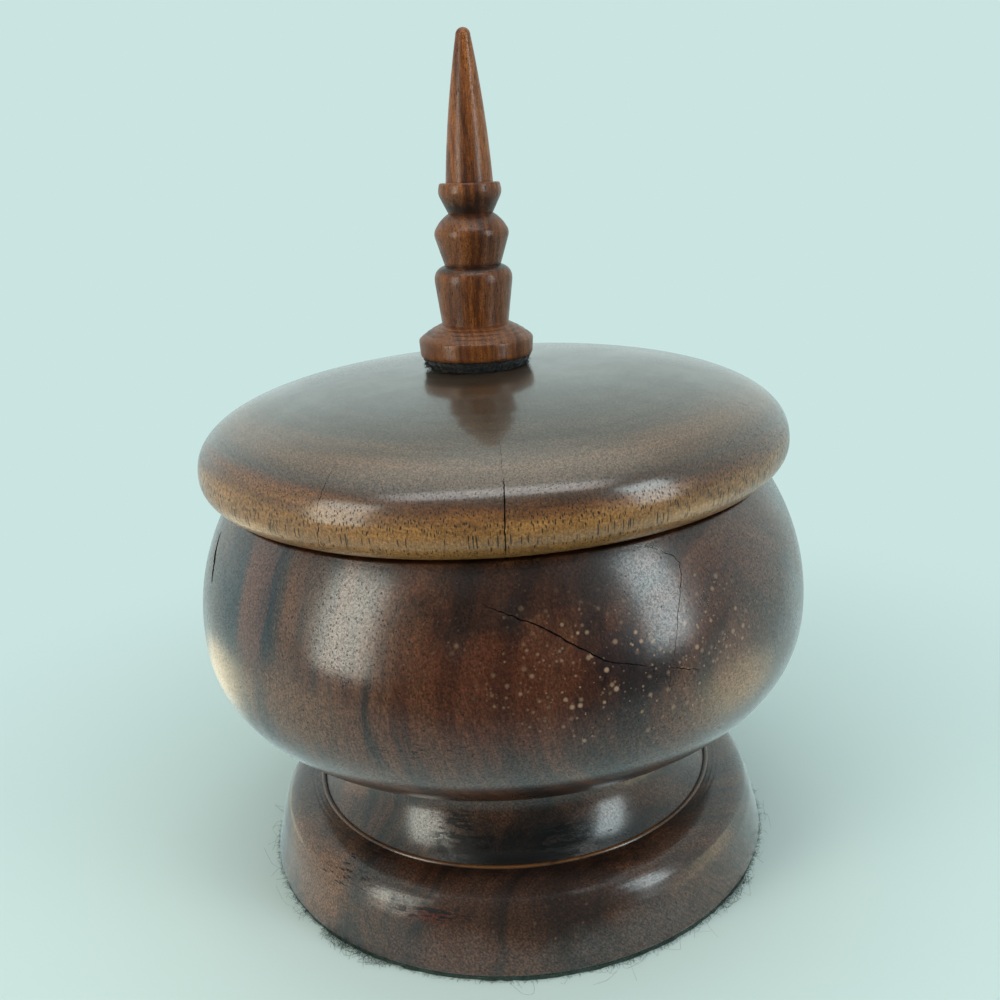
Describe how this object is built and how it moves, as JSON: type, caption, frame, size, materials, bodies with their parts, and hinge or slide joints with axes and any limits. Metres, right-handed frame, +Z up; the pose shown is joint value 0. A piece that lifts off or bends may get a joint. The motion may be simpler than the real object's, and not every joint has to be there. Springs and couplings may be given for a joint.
{
  "type": "turned wooden box",
  "caption": "Round turned wooden box with a footed globe bowl, a domed lift-off lid and a tall spire finial.",
  "frame": {"origin": "centre of the flat face that the box rests on", "axes": "+Z up along the bowl's turning axis, -Y towards the side shown in the picture, +X to its right"},
  "size_m": [0.1584, 0.1584, 0.2118],
  "materials": {
    "base_felt": "fuzzy green baize",
    "foot_wood": "lacquered, satin gloss",
    "bowl_wood": "lacquered, satin gloss",
    "lid_wood": "lacquered, high gloss",
    "washer_felt": "dark felt",
    "finial_wood": "oiled, satin"
  },
  "bodies": {
    "base": {"base_felt": "base_felt", "foot": "foot_wood", "bowl": "bowl_wood"},
    "lid_assembly": {"lid": "lid_wood", "finial_washer": "washer_felt", "finial": "finial_wood"}
  },
  "joints": [
    {"name": "lid_lift", "type": "slide", "parent": "base", "child": "lid_assembly", "axis": [0, 0, 1], "range_m": [0, 0.06]}
  ]
}
